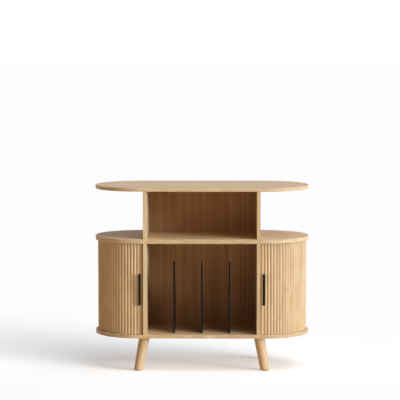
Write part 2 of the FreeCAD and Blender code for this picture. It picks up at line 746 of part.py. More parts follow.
right_rail = rail()
save("right_door_rail", right_rail)
save("left_door_rail", mirrored(right_rail))
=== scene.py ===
"""Record cabinet: oak veneered boards on turned legs, with a sliding fluted door round each end."""
import math

import bmesh
import bpy
from mathutils import Matrix, Vector


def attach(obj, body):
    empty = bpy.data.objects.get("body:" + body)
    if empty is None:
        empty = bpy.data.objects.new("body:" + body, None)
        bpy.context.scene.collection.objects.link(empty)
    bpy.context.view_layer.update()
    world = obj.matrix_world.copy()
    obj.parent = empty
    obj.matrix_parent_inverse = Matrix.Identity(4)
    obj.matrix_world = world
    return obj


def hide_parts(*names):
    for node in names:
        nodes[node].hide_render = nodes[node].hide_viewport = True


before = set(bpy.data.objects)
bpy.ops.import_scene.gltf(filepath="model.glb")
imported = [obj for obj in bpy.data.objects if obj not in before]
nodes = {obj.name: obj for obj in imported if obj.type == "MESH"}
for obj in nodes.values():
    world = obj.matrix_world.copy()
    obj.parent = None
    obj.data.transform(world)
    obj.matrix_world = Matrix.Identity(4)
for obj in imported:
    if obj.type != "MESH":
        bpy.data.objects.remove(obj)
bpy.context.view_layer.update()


# ---- top panel -------------------------------------------------------------------------
# The top is a veneered board with two half-round ends, its rim covered by a thin oak band.
# The veneer is laid in long leaves side by side, and satin lacquered.
END_CENTRE_X = 0.340
BOARD_R = 0.260
BAND_T = 0.0012
LEAF_W = 0.173
OAK_LIGHT = (227, 197, 158)
OAK_DARK = (182, 143, 101)
# Paler, cooler oak for the top and the caps than for the other boards: painted sheen, the whitish
# reflection of the light on their upper faces.
TOP_SHEEN_LIGHT = (226, 198, 165)
TOP_SHEEN_DARK = (193, 158, 122)
BAND_TINT = (0.97, 0.955, 0.92, 1.0)
PORE_TINT = (0.62, 0.55, 0.48, 1.0)
LACQUER_ROUGH = 0.60
LACQUER_SHINE = 0.28


def paint(red, green, blue):
    """A colour on a 0-255 scale, as Blender's linear colour."""
    mixed = []
    for part in (red, green, blue):
        share = part / 255
        mixed.append(share / 12.92 if share <= 0.04045 else ((share + 0.055) / 1.055) ** 2.4)
    return (*mixed, 1.0)


def new_finish(name):
    """An empty material: its node tree and its surface shader."""
    finish = bpy.data.materials.new(name)
    finish.use_nodes = True
    return finish, finish.node_tree, finish.node_tree.nodes["Principled BSDF"]


def plug(tree, socket, value):
    """Gives a socket another node's output, or a plain value."""
    if isinstance(value, bpy.types.NodeSocket):
        tree.links.new(value, socket)
    else:
        socket.default_value = value


def add(tree, kind, settings=(), **sockets):
    """A shader node with its settings, and its sockets by name (an underscore for a space)."""
    node = tree.nodes.new("ShaderNode" + kind)
    for setting, value in dict(settings).items():
        setattr(node, setting, value)
    for socket, value in sockets.items():
        plug(tree, node.inputs[socket.replace("_", " ")], value)
    return node


def reckon(tree, operation, *terms):
    """One sum: ADD, MULTIPLY, POWER and so on of numbers or sockets."""
    node = tree.nodes.new("ShaderNodeMath")
    node.operation = operation
    for index, term in enumerate(terms):
        plug(tree, node.inputs[index], term)
    return node.outputs[0]


def hypotenuse(tree, one_side, other_side):
    squares = [reckon(tree, "POWER", side, 2.0) for side in (one_side, other_side)]
    return reckon(tree, "SQRT", reckon(tree, "ADD", *squares))


def blend_colours(tree, share, first, second, how="MIX"):
    """The first colour where share is 0, and the second (or their product) where it is 1."""
    node = add(tree, "Mix", {"data_type": "RGBA", "blend_type": how})
    factor, first_colour, second_colour = node.inputs[0], node.inputs[6], node.inputs[7]
    plug(tree, factor, share)
    plug(tree, first_colour, first)
    plug(tree, second_colour, second)
    return node.outputs[2]


def step(tree, value, low, high):
    """0 below low and 1 above high."""
    return add(tree, "MapRange", Value=value, From_Min=low, From_Max=high).outputs[0]


def axes(tree, order):
    """The piece's own coordinates in metres, for wood as (along, across, through) the grain."""
    place = add(tree, "TexCoord").outputs["Object"]
    split = add(tree, "SeparateXYZ", Vector=place)
    return [split.outputs[letter] for letter in order]


def stretched(tree, parts, scales, shift=0.0):
    """A vector of three coordinates, each multiplied for a pattern longer one way."""
    scaled = [reckon(tree, "MULTIPLY_ADD", part, scale, shift) for part, scale in zip(parts, scales)]
    return add(tree, "CombineXYZ", X=scaled[0], Y=scaled[1], Z=scaled[2]).outputs[0]


def noise(tree, vector, detail=2.0, roughness=0.5, distortion=0.0):
    """A cloudy pattern from 0 to 1 at the vector's own scale."""
    settings = {"Scale": 1.0, "Detail": detail, "Roughness": roughness, "Distortion": distortion}
    return add(tree, "TexNoise", Vector=vector, **settings).outputs[0]


def own_tone(tree, seed):
    """A number from 0 to 1 that belongs to one leaf of veneer or one slat."""
    return add(tree, "TexWhiteNoise", {"noise_dimensions": "1D"}, W=seed).outputs["Value"]


def base_colour(tree, shader, share, dark, light):
    """The surface's colour, between two paints."""
    plug(tree, shader.inputs["Base Color"], blend_colours(tree, share, paint(*dark), paint(*light)))


def relief(tree, shader, height, strength, distance):
    """Fine relief on the surface, its full depth in metres."""
    bump = add(tree, "Bump", Height=height, Strength=strength, Distance=distance)
    plug(tree, shader.inputs["Normal"], bump.outputs[0])


def straight_oak(tree, grain, shift):
    """Figure from 0 (dark) to 1 (light) of straight-grained oak."""
    broad = noise(tree, stretched(tree, grain, (2.6, 13.0, 13.0), shift), 3.0)
    lines = noise(tree, stretched(tree, grain, (1.6, 150.0, 150.0), shift), 3.0, 0.62, 0.15)
    fine = noise(tree, stretched(tree, grain, (9.0, 620.0, 620.0), shift), 2.0, 0.6)
    figure = reckon(tree, "MULTIPLY", step(tree, lines, 0.30, 0.70), 0.50)
    figure = reckon(tree, "MULTIPLY_ADD", step(tree, broad, 0.32, 0.68), 0.32, figure)
    return reckon(tree, "MULTIPLY_ADD", step(tree, fine, 0.3, 0.7), 0.18, figure)


def crown_oak(tree, grain, shift):
    """Figure of crown-cut oak: leaves side by side, one on the middle line, with arched rings."""
    along, across = grain[:2]
    counted = reckon(tree, "ADD", across, 10.5 * LEAF_W)
    place = reckon(tree, "ADD", reckon(tree, "MODULO", counted, LEAF_W), -LEAF_W / 2)
    number = reckon(tree, "FLOOR", reckon(tree, "DIVIDE", counted, LEAF_W))
    own = own_tone(tree, reckon(tree, "ADD", number, shift))
    wander = noise(tree, stretched(tree, grain, (1.1, 5.0, 5.0), shift), 2.0)
    bow = reckon(tree, "MULTIPLY_ADD", wander, 0.16, reckon(tree, "MULTIPLY_ADD", own, 0.05, -0.02))
    depth = reckon(tree, "MULTIPLY_ADD", along, 0.055, bow)
    ring = reckon(tree, "MULTIPLY", hypotenuse(tree, place, depth), 260.0)
    rings = add(tree, "TexNoise", {"noise_dimensions": "1D"}, W=ring, Detail=3.0).outputs[0]
    fine = noise(tree, stretched(tree, grain, (9.0, 620.0, 620.0), shift), 2.0, 0.6)
    broad = noise(tree, stretched(tree, grain, (0.9, 11.0, 11.0), shift), 2.0)
    figure = reckon(tree, "MULTIPLY", step(tree, rings, 0.32, 0.68), 0.46)
    figure = reckon(tree, "MULTIPLY_ADD", step(tree, broad, 0.32, 0.68), 0.26, figure)
    figure = reckon(tree, "MULTIPLY_ADD", own, 0.10, figure)
    return reckon(tree, "MULTIPLY_ADD", step(tree, fine, 0.3, 0.7), 0.18, figure)


def oak_pores(tree, grain, shift):
    """Short open pores along the grain: 0, and 1 inside a pore."""
    field = noise(tree, stretched(tree, grain, (75.0, 1500.0, 1500.0), shift), 1.0, 0.5)
    return step(tree, field, 0.60, 0.72)


def lacquer(tree, shader, colour, pores, figure):
    """Satin lacquer over open-pored wood: the pores are darker, rougher and sunk."""
    in_pore = blend_colours(tree, 1.0, colour, PORE_TINT, "MULTIPLY")
    faint = reckon(tree, "MULTIPLY", pores, 0.45)
    plug(tree, shader.inputs["Base Color"], blend_colours(tree, faint, colour, in_pore))
    rough = reckon(tree, "MULTIPLY_ADD", figure, -0.08, LACQUER_ROUGH)
    plug(tree, shader.inputs["Roughness"], reckon(tree, "MULTIPLY_ADD", pores, 0.2, rough))
    shader.inputs["Specular IOR Level"].default_value = LACQUER_SHINE
    height = reckon(tree, "MULTIPLY_ADD", pores, -1.0, reckon(tree, "MULTIPLY", figure, 0.35))
    relief(tree, shader, height, 0.35, 0.00012)


def rim_band(tree, outline):
    """1 on the banded rim of a board, by the distance from its middle line or its front edge."""
    x, y = axes(tree, "XY")
    if outline == "oval":
        past_end = reckon(tree, "SUBTRACT", reckon(tree, "ABSOLUTE", x), END_CENTRE_X)
        out = hypotenuse(tree, reckon(tree, "MAXIMUM", past_end, 0.0), y)
    else:
        out = reckon(tree, "MULTIPLY", y, -1.0)
    return reckon(tree, "GREATER_THAN", out, BOARD_R - BAND_T)


def banded_board(name, shift, outline="oval", light=OAK_LIGHT, dark=OAK_DARK):
    """Oak veneer on a flat board, with the edge band's grain running round its rim."""
    finish, tree, shader = new_finish(name)
    grain = axes(tree, "XYZ")
    face = crown_oak(tree, grain, shift)
    rim_streaks = noise(tree, stretched(tree, grain, (5.0, 5.0, 330.0), shift), 3.0, 0.6, 0.1)
    rim_clouds = noise(tree, stretched(tree, grain, (22.0, 22.0, 70.0), shift), 3.0, 0.6)
    rim = reckon(tree, "MULTIPLY_ADD", rim_streaks, 0.5, reckon(tree, "MULTIPLY", rim_clouds, 0.5))
    band = rim_band(tree, outline)
    veneer = reckon(tree, "SUBTRACT", 1.0, band)
    on_band = reckon(tree, "MULTIPLY", step(tree, rim, 0.31, 0.69), band)
    figure = reckon(tree, "ADD", reckon(tree, "MULTIPLY", face, veneer), on_band)
    colour = blend_colours(tree, figure, paint(*dark), paint(*light))
    colour = blend_colours(tree, band, colour, BAND_TINT, "MULTIPLY")
    pores = reckon(tree, "MULTIPLY", oak_pores(tree, grain, shift), veneer)
    lacquer(tree, shader, colour, pores, figure)
    return finish


def finish_node(name, finish):
    """Gives a solid of the cabinet its finish."""
    for place in nodes[name].material_slots:
        place.material = finish


# The top's paler, cooler colour is painted sheen.
finish_node("top_panel", banded_board("oak_top", shift=3.1, light=TOP_SHEEN_LIGHT, dark=TOP_SHEEN_DARK))


# ---- bottom panel ------------------------------------------------------------------------
# The same oval board again, which carries the legs. It is grooved on its upper face for the
# tongues of the doors and for the record dividers, and banded round its rim like the top.
finish_node("bottom_panel", banded_board("oak_bottom", shift=7.4))


# ---- middle shelf and the two caps -----------------------------------------------------------
# The shelf stands on dowels between the uprights, and a half-round cap closes each end at its
# level. Each cap is veneered like the top, and has the upper track of its door in its underside.
finish_node("middle_shelf", banded_board("oak_shelf", shift=11.7, outline="straight"))
# The caps take the top's paler oak, which is painted sheen.
finish_node("left_cap_panel", banded_board("oak_left_cap", shift=15.2, light=TOP_SHEEN_LIGHT, dark=TOP_SHEEN_DARK))
finish_node("right_cap_panel", banded_board("oak_right_cap", shift=19.8, light=TOP_SHEEN_LIGHT, dark=TOP_SHEEN_DARK))


# ---- uprights --------------------------------------------------------------------------------
# Two full-height boards, dowelled between bottom and top. They are of straight-grained oak, with
# the grain upright.
def upright_oak(name, shift):
    """Straight-grained oak with its grain along Z."""
    finish, tree, shader = new_finish(name)
    grain = axes(tree, "ZXY")
    figure = straight_oak(tree, grain, shift)
    colour = blend_colours(tree, figure, paint(*OAK_DARK), paint(*OAK_LIGHT))
    lacquer(tree, shader, colour, oak_pores(tree, grain, shift), figure)
    return finish


finish_node("left_upright", upright_oak("oak_left_upright", shift=2.3))
finish_node("right_upright", upright_oak("oak_right_upright", shift=5.9))


# ---- bent end panels -----------------------------------------------------------------------
# Bent plywood round the back of each end, inside the path of the door. It is veneered with the
# grain upright, and screwed to the rear edge of the upright.
finish_node("left_end_panel", upright_oak("oak_left_end", shift=8.8))
finish_node("right_end_panel", upright_oak("oak_right_end", shift=13.3))


# ---- back panel ----------------------------------------------------------------------------
# A thin panel in grooves of the uprights. Inside it has a browner, darker veneer with narrow upright
# stripes, partly its own tone and partly painted shade of the bays, and outside the paler oak of the
# rest of the cabinet.
# Browner, darker oak for the inside face: partly its own tone and partly painted shade of the bays.
BACK_TONE_AND_SHADE_LIGHT = (225, 181, 139)
BACK_TONE_AND_SHADE_DARK = (171, 122, 82)
BACK_MIDDLE_Y = 0.2144
STRIPE_PITCH = 0.0150
STRIPE_CLEAR_Z = 0.66
STRIPE_FAINT_Z = 0.98


def striped_oak(name, shift):
    """Ribbon-figured veneer: even upright stripes, clearest low down, over finer grain."""
    finish, tree, shader = new_finish(name)
    grain = axes(tree, "ZXY")
    up, across, through = grain
    fine = straight_oak(tree, grain, shift)
    stripes = noise(tree, stretched(tree, grain, (0.8, 125.0, 0.0), shift), 1.0, 0.4)
    swathes = noise(tree, stretched(tree, grain, (0.6, 30.0, 0.0), shift), 1.0)
    wander = noise(tree, stretched(tree, grain, (0.5, 7.0, 0.0), shift), 1.0)
    wander = reckon(tree, "MULTIPLY", wander, 3.0)
    turns = reckon(tree, "MULTIPLY_ADD", across, math.tau / STRIPE_PITCH, wander)
    clear = step(tree, up, STRIPE_FAINT_Z, STRIPE_CLEAR_Z)
    depth = reckon(tree, "MULTIPLY_ADD", clear, 0.12, 0.05)
    ribbon = reckon(tree, "MULTIPLY", reckon(tree, "SINE", turns), depth)
    figure = reckon(tree, "MULTIPLY_ADD", fine, 0.30, reckon(tree, "ADD", ribbon, 0.16))
    figure = reckon(tree, "MULTIPLY_ADD", step(tree, stripes, 0.38, 0.62), 0.28, figure)
    figure = reckon(tree, "MULTIPLY_ADD", step(tree, swathes, 0.35, 0.65), 0.10, figure)
    # The inside face takes the darker colours, partly painted shade of the bays; the outside takes the
    # paler oak.
    inside = blend_colours(tree, figure, paint(*BACK_TONE_AND_SHADE_DARK), paint(*BACK_TONE_AND_SHADE_LIGHT))
    outside = blend_colours(tree, fine, paint(*OAK_DARK), paint(*OAK_LIGHT))
    rear = reckon(tree, "GREATER_THAN", through, BACK_MIDDLE_Y)
    colour = blend_colours(tree, rear, inside, outside)
    lacquer(tree, shader, colour, oak_pores(tree, grain, shift), figure)
    return finish


finish_node("back_panel", striped_oak("oak_back", shift=17.5))


# ---- cable grommet -------------------------------------------------------------------------
# A moulded plastic ring that lines the cable hole, with a flange inside the upper bay.
# Its lips are rounded, so that a lead isn't chafed.
GROMMET_X = -0.210
GROMMET_Z = 0.979
GROMMET_FRONT_Y = 0.2094
GROMMET_PANEL_Y = 0.2114
GROMMET_REAR_Y = 0.2174
GROMMET_BORE_R = 0.014
GROMMET_SLEEVE_R = 0.0169
GROMMET_FLANGE_R = 0.021
GROMMET_LIP_R = 0.0009
PLASTIC_DARK = (30, 29, 28)
PLASTIC_LIGHT = (40, 39, 38)


def made_piece(shape, name, finish):
    """A new piece from a bmesh, with its doubles merged, its faces turned out and its finish."""
    bmesh.ops.remove_doubles(shape, verts=shape.verts, dist=1e-6)
    bmesh.ops.recalc_face_normals(shape, faces=shape.faces)
    mesh = bpy.data.meshes.new(name)
    shape.to_mesh(mesh)
    shape.free()
    mesh.materials.append(finish)
    piece = bpy.data.objects.new(name, mesh)
    bpy.context.scene.collection.objects.link(piece)
    return piece


def smooth_faces(piece, degrees=35.0):
    """Smooth shading, with edges sharper than the angle kept crisp."""
    for face in piece.data.polygons:
        face.use_smooth = True
    piece.data.set_sharp_from_angle(angle=math.radians(degrees))


def closed_loop(shape, points):
    """Corners at the points, and edges from each to the next and back to the first."""
    corners = [shape.verts.new(point) for point in points]
    for start, end in zip(corners, corners[1:] + corners[:1]):
        shape.edges.new((start, end))
    return corners


def moulded_plastic(name):
    """Black plastic with the fine spark-eroded texture of its mould."""
    finish, tree, shader = new_finish(name)
    place = axes(tree, "XYZ")
    texture = noise(tree, stretched(tree, place, (1400.0, 1400.0, 1400.0)), 3.0, 0.6)
    cloud = noise(tree, stretched(tree, place, (60.0, 60.0, 60.0)), 2.0)
    base_colour(tree, shader, cloud, PLASTIC_DARK, PLASTIC_LIGHT)
    plug(tree, shader.inputs["Roughness"], reckon(tree, "MULTIPLY_ADD", texture, 0.18, 0.42))
    relief(tree, shader, texture, 0.25, 0.0001)
    return finish


shape = bmesh.new()
corners = closed_loop(shape, (
    (GROMMET_X + GROMMET_BORE_R, GROMMET_FRONT_Y, GROMMET_Z),
    (GROMMET_X + GROMMET_FLANGE_R, GROMMET_FRONT_Y, GROMMET_Z),
    (GROMMET_X + GROMMET_FLANGE_R, GROMMET_PANEL_Y, GROMMET_Z),
    (GROMMET_X + GROMMET_SLEEVE_R, GROMMET_PANEL_Y, GROMMET_Z),
    (GROMMET_X + GROMMET_SLEEVE_R, GROMMET_REAR_Y, GROMMET_Z),
    (GROMMET_X + GROMMET_BORE_R, GROMMET_REAR_Y, GROMMET_Z),
))
lips = corners[:2] + corners[5:]
bmesh.ops.bevel(shape, geom=lips, offset=GROMMET_LIP_R, segments=4, profile=0.5, affect="VERTICES",
                material=-1)
bmesh.ops.spin(shape, geom=shape.verts[:] + shape.edges[:], cent=(GROMMET_X, 0.0, GROMMET_Z),
               axis=(0, 1, 0), angle=math.tau, steps=64, use_merge=True)
grommet = made_piece(shape, "grommet_ring", moulded_plastic("black_plastic"))
smooth_faces(grommet)
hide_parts("cable_grommet")
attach(grommet, "carcass")


# ---- shelves inside the ends ---------------------------------------------------------------
# Half-moon veneered boards, cut from one sheet. Each rests on two zinc-plated steel pins in its
# upright and on an oak cleat that is glued to the end panel.
ZINC_DARK = (190, 190, 186)
ZINC_LIGHT = (214, 214, 208)


def zinc_plate(name):
    """Bright zinc plating: a metal with faint drawn streaks and cloudy patches."""
    finish, tree, shader = new_finish(name)
    place = axes(tree, "XYZ")
    streak = noise(tree, stretched(tree, place, (300.0, 300.0, 1500.0)), 2.0)
    cloud = noise(tree, stretched(tree, place, (120.0, 120.0, 120.0)), 2.0)
    base_colour(tree, shader, cloud, ZINC_DARK, ZINC_LIGHT)
    shader.inputs["Metallic"].default_value = 1.0
    plug(tree, shader.inputs["Roughness"], reckon(tree, "MULTIPLY_ADD", streak, 0.2, 0.26))
    relief(tree, shader, streak, 0.2, 0.00005)
    return finish


inner_oak = banded_board("oak_inner_shelf", shift=23.0, outline="straight")
finish_node("left_inner_shelf", inner_oak)
finish_node("right_inner_shelf", inner_oak)
finish_node("shelf_cleats", upright_oak("oak_cleats", shift=52.0))
zinc = zinc_plate("zinc_steel")
finish_node("shelf_pins", zinc)


# ---- legs ----------------------------------------------------------------------------------
# Turned from solid oak with the grain along the leg, tapered and splayed. Each hangs from the
# bottom panel on a zinc-plated hanger bolt.
LEGS = ("front_left_leg", "front_right_leg", "rear_left_leg", "rear_right_leg")
for index, leg in enumerate(LEGS):
    finish_node(leg, upright_oak("oak_" + leg, shift=31.0 + 4.3 * index))
finish_node("leg_bolts", zinc)


# ---- felt under the legs -------------------------------------------------------------------
# A disc of pressed brown felt is stuck under each leg, to spare the floor. Its rim is cut
# square and has gone soft.
FELT_R = 0.017
FELT_T = 0.003
FELT_SOFT_EDGE = 0.0008
FOOT_X = 0.3535
FOOT_Y = 0.200
FELT_DARK = (88, 74, 62)
FELT_LIGHT = (150, 132, 114)


def pressed_felt(name):
    """Brown felt: matted fibres in loose clumps, with a soft sheen."""
    finish, tree, shader = new_finish(name)
    place = axes(tree, "XYZ")
    fibre = noise(tree, stretched(tree, place, (1900.0, 1900.0, 1900.0)), 4.0, 0.7, 1.2)
    clump = noise(tree, stretched(tree, place, (260.0, 260.0, 260.0)), 3.0, 0.6)
    share = reckon(tree, "MULTIPLY_ADD", fibre, 0.6, reckon(tree, "MULTIPLY", clump, 0.4))
    base_colour(tree, shader, share, FELT_DARK, FELT_LIGHT)
    shader.inputs["Roughness"].default_value = 0.95
    shader.inputs["Sheen Weight"].default_value = 0.35
    relief(tree, shader, share, 0.8, 0.0004)
    return finish


shape = bmesh.new()
for foot_x in (-FOOT_X, FOOT_X):
    for foot_y in (-FOOT_Y, FOOT_Y):
        centre = Matrix.Translation((foot_x, foot_y, FELT_T / 2))
        bmesh.ops.create_cone(shape, cap_ends=True, segments=48, radius1=FELT_R, radius2=FELT_R,
                              depth=FELT_T, matrix=centre)
rims = [edge for edge in shape.edges if abs(edge.verts[0].co.z - edge.verts[1].co.z) < FELT_T / 2]
bmesh.ops.bevel(shape, geom=rims, offset=FELT_SOFT_EDGE, segments=3, profile=0.5, affect="EDGES",
                material=-1)
felt = made_piece(shape, "felt_discs", pressed_felt("brown_felt"))
smooth_faces(felt, 60.0)
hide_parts("foot_pads")
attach(felt, "carcass")


# ---- handles -------------------------------------------------------------------------------
# Flat steel bars on two round posts, welded and powder-coated black. Each is screwed on from
# inside its leading rail.
COAT_DARK = (33, 19, 10)
COAT_LIGHT = (40, 26, 17)


def powder_coat(name):
    """Black powder coat: matt, with the slight ripple that the baked powder leaves."""
    finish, tree, shader = new_finish(name)
    place = axes(tree, "XYZ")
    ripple = noise(tree, stretched(tree, place, (900.0, 900.0, 900.0)), 2.0)
    cloud = noise(tree, stretched(tree, place, (35.0, 35.0, 35.0)), 2.0)
    base_colour(tree, shader, cloud, COAT_DARK, COAT_LIGHT)
    plug(tree, shader.inputs["Roughness"], reckon(tree, "MULTIPLY_ADD", ripple, 0.14, 0.48))
    shader.inputs["Specular IOR Level"].default_value = 0.02
    relief(tree, shader, ripple, 0.3, 0.0001)
    return finish


black_steel = powder_coat("black_steel")
finish_node("left_handle", black_steel)
finish_node("right_handle", black_steel)


# ---- record dividers -------------------------------------------------------------------------
# Thin wood-fibre boards in satin black lacquer, with eased edges and a rounded nose. They are
# let into the bottom panel and screwed from below.
DIVIDERS = 3
LACQUER_BLACK = (9, 8, 7)
LACQUER_RUBBED = (21, 18, 16)


def black_lacquer(name):
    """Sprayed black lacquer: a soft orange-peel, and fine rubs from sleeves along the faces."""
    finish, tree, shader = new_finish(name)
    place = axes(tree, "YZX")
    peel = noise(tree, stretched(tree, place, (420.0, 420.0, 420.0)), 2.0)
    cloud = noise(tree, stretched(tree, place, (14.0, 14.0, 14.0)), 3.0)
    rubs = noise(tree, stretched(tree, place, (11.0, 620.0, 620.0)), 3.0, 0.6)
    rubbed = step(tree, rubs, 0.58, 0.74)
    share = reckon(tree, "MULTIPLY_ADD", rubbed, 0.45, reckon(tree, "MULTIPLY", cloud, 0.55))
    base_colour(tree, shader, share, LACQUER_BLACK, LACQUER_RUBBED)
    rough = reckon(tree, "MULTIPLY_ADD", rubbed, 0.12, reckon(tree, "MULTIPLY_ADD", cloud, 0.08, 0.38))
    plug(tree, shader.inputs["Roughness"], rough)
    shader.inputs["Specular IOR Level"].default_value = 0.12
    relief(tree, shader, peel, 0.2, 0.0001)
    return finish


lacquered = black_lacquer("black_lacquer")
for number in range(DIVIDERS):
    finish_node("record_divider_%d" % (number + 1), lacquered)


# ---- screws --------------------------------------------------------------------------------
# Zinc-plated pan-head screws with a cross recess: up through the bottom panel into the dividers,
# through the rear edge of the end panels and, from inside, through each leading rail.
HEAD_R = 0.0038
HEAD_T = 0.0024
SHANK_R = 0.002
HEAD_SIDES = 24
HEAD_PROFILE = (
    (SHANK_R, 0.0),
    (HEAD_R, 0.0),
    (HEAD_R, 0.45 * HEAD_T),
    (0.93 * HEAD_R, 0.8 * HEAD_T),
    (0.74 * HEAD_R, HEAD_T),
)
RECESS_RIM = 0.24 * HEAD_R
RECESS_DEPTH = 0.5 * HEAD_T
UNDERSIDE_Z = 0.188
BAY_HALF = 0.305
DIVIDER_T = 0.008
DIVIDER_PITCH = (2 * BAY_HALF + DIVIDER_T) / (DIVIDERS + 1)
DIVIDER_SCREW_Y = (-0.162, 0.028)
DIVIDER_SCREW_L = 0.028
PANEL_SCREW_X = 0.315
PANEL_SCREW_Y = 0.236
PANEL_SCREW_Z = (0.268, 0.462, 0.656)
PANEL_SCREW_L = 0.022


def screw(shape, seat, outward, shank):
    """Adds one screw: its head stands outward from the seat and its shank goes the other way."""
    earlier = set(shape.verts)
    rim = bmesh.ops.create_circle(shape, cap_ends=False, segments=HEAD_SIDES, radius=SHANK_R)["verts"]
    ring = list({edge for vert in rim for edge in vert.link_edges})
    bmesh.ops.translate(shape, verts=rim, vec=(0, 0, -shank))
    bmesh.ops.contextual_create(shape, geom=ring)
    for radius, height in HEAD_PROFILE:
        grown = bmesh.ops.extrude_edge_only(shape, edges=ring)["geom"]
        rim = [part for part in grown if isinstance(part, bmesh.types.BMVert)]
        ring = [part for part in grown if isinstance(part, bmesh.types.BMEdge)]
        wider = radius / math.hypot(rim[0].co.x, rim[0].co.y)
        bmesh.ops.scale(shape, verts=rim, vec=(wider, wider, 1.0))
        bmesh.ops.translate(shape, verts=rim, vec=(0, 0, height - rim[0].co.z))
    top = bmesh.ops.contextual_create(shape, geom=ring)["faces"]
    bmesh.ops.inset_region(shape, faces=top, thickness=RECESS_RIM)
    for vert in top[0].verts:
        between_arms = abs(math.sin(2.0 * math.atan2(vert.co.y, vert.co.x)))
        pull = 1.0 - 0.62 * between_arms
        bmesh.ops.scale(shape, verts=[vert], vec=(pull, pull, 1.0))
    sunk = bmesh.ops.extrude_discrete_faces(shape, faces=top)["faces"]
    recess_floor = list(sunk[0].verts)
    bmesh.ops.translate(shape, verts=recess_floor, vec=(0, 0, -RECESS_DEPTH))
    bmesh.ops.scale(shape, verts=recess_floor, vec=(0.6, 0.6, 1.0))
    made = [vert for vert in shape.verts if vert not in earlier]
    aim = Vector(outward).to_track_quat("Z", "Y").to_matrix().to_4x4()
    bmesh.ops.transform(shape, matrix=Matrix.Translation(seat) @ aim, verts=made)


def screw_set(name, node, body, seats, outward, shank):
    """One piece of several zinc-plated screws, in place of the plain ones in a node."""
    shape = bmesh.new()
    for seat in seats:
        screw(shape, seat, outward, shank)
    piece = made_piece(shape, name, zinc)
    smooth_faces(piece, 30.0)
    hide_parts(node)
    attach(piece, body)


divider_seats = []
for number in range(DIVIDERS):
    divider_x = -BAY_HALF - DIVIDER_T / 2 + DIVIDER_PITCH * (number + 1)
    for screw_y in DIVIDER_SCREW_Y:
        divider_seats.append((divider_x, screw_y, UNDERSIDE_Z))
screw_set("divider_fixings", "divider_screws", "carcass", divider_seats, (0, 0, -1), DIVIDER_SCREW_L)

panel_seats = []
for screw_x in (-PANEL_SCREW_X, PANEL_SCREW_X):
    for screw_z in PANEL_SCREW_Z:
        panel_seats.append((screw_x, PANEL_SCREW_Y, screw_z))
screw_set("panel_edge_screws", "end_panel_screws", "carcass", panel_seats, (0, 1, 0), PANEL_SCREW_L)


# ---- doors ---------------------------------------------------------------------------------
# Each door is a thick leading rail and a row of straight-grained oak slats with round faces,
# cut from different boards, so that their tone changes a little from slat to slat.
SLAT_PAIRS = 11
RAIL_END_DEG = 5.131
SLAT_PITCH_DEG = 4.1822
SLAT_BACK_R = 0.2386
POST_DEG = 0.951
POST_Z = (0.381, 0.541)
RAIL_SCREW_R = 0.2346
RAIL_SCREW_L = 0.0148


def slat_oak(name, shift):
    """Solid oak slats, each with its own tone and its own length of grain."""
    finish, tree, shader = new_finish(name)
    x, y, z = axes(tree, "XYZ")
    out = reckon(tree, "SUBTRACT", reckon(tree, "ABSOLUTE", x), END_CENTRE_X)
    angle = reckon(tree, "ARCTAN2", out, reckon(tree, "MULTIPLY", y, -1.0))
    past_rail = reckon(tree, "SUBTRACT", angle, math.radians(RAIL_END_DEG))
    number = reckon(tree, "FLOOR", reckon(tree, "DIVIDE", past_rail, math.radians(SLAT_PITCH_DEG)))
    door = reckon(tree, "MULTIPLY", reckon(tree, "SIGN", x), 57.0)
    own = own_tone(tree, reckon(tree, "ADD", reckon(tree, "ADD", number, door), shift))
    length = reckon(tree, "MULTIPLY_ADD", own, 9.0, z)
    round_way = reckon(tree, "MULTIPLY", angle, SLAT_BACK_R)
    grain = (length, round_way, reckon(tree, "MULTIPLY", own, 3.0))
    clouds = noise(tree, stretched(tree, (z, round_way, door), (9.0, 17.0, 1.0), shift), 4.0, 0.6)
    figure = reckon(tree, "MULTIPLY", own, 0.18)
    figure = reckon(tree, "MULTIPLY_ADD", straight_oak(tree, grain, shift), 0.56, figure)
    figure = reckon(tree, "MULTIPLY_ADD", step(tree, clouds, 0.34, 0.66), 0.26, figure)
    colour = blend_colours(tree, figure, paint(*OAK_DARK), paint(*OAK_LIGHT))
    lacquer(tree, shader, colour, oak_pores(tree, grain, shift), figure)
    return finish


door_oak = slat_oak("oak_slats", shift=41.0)
for side, way in (("left", -1.0), ("right", 1.0)):
    finish_node(side + "_door_rail", door_oak)
    for pair in range(SLAT_PAIRS):
        finish_node("%s_slat_pair_%02d" % (side, pair + 1), door_oak)
    post_turn = way * math.radians(POST_DEG)
    out_way = Vector((math.sin(post_turn), -math.cos(post_turn), 0.0))
    seats = [Vector((way * END_CENTRE_X, 0.0, height)) + out_way * RAIL_SCREW_R for height in POST_Z]
    node, body = side + "_handle_screws", side + "_door"
    screw_set(side + "_rail_screws", node, body, seats, -out_way, RAIL_SCREW_L)


# ---- canvas behind the slats ---------------------------------------------------------------
# The slats are glued edge to edge on one sheet of unbleached cotton canvas, which bends with
# them round the end. It is lapped into a rebate of the leading rail.
CANVAS_R = 0.2381
CANVAS_T = 0.0009
CANVAS_START_DEG = 2.971
CANVAS_END_DEG = 97.04
CANVAS_LOW_Z = 0.215
CANVAS_HIGH_Z = 0.7075
THREAD = 0.0011
COTTON_DARK = (168, 150, 120)
COTTON_LIGHT = (212, 196, 168)


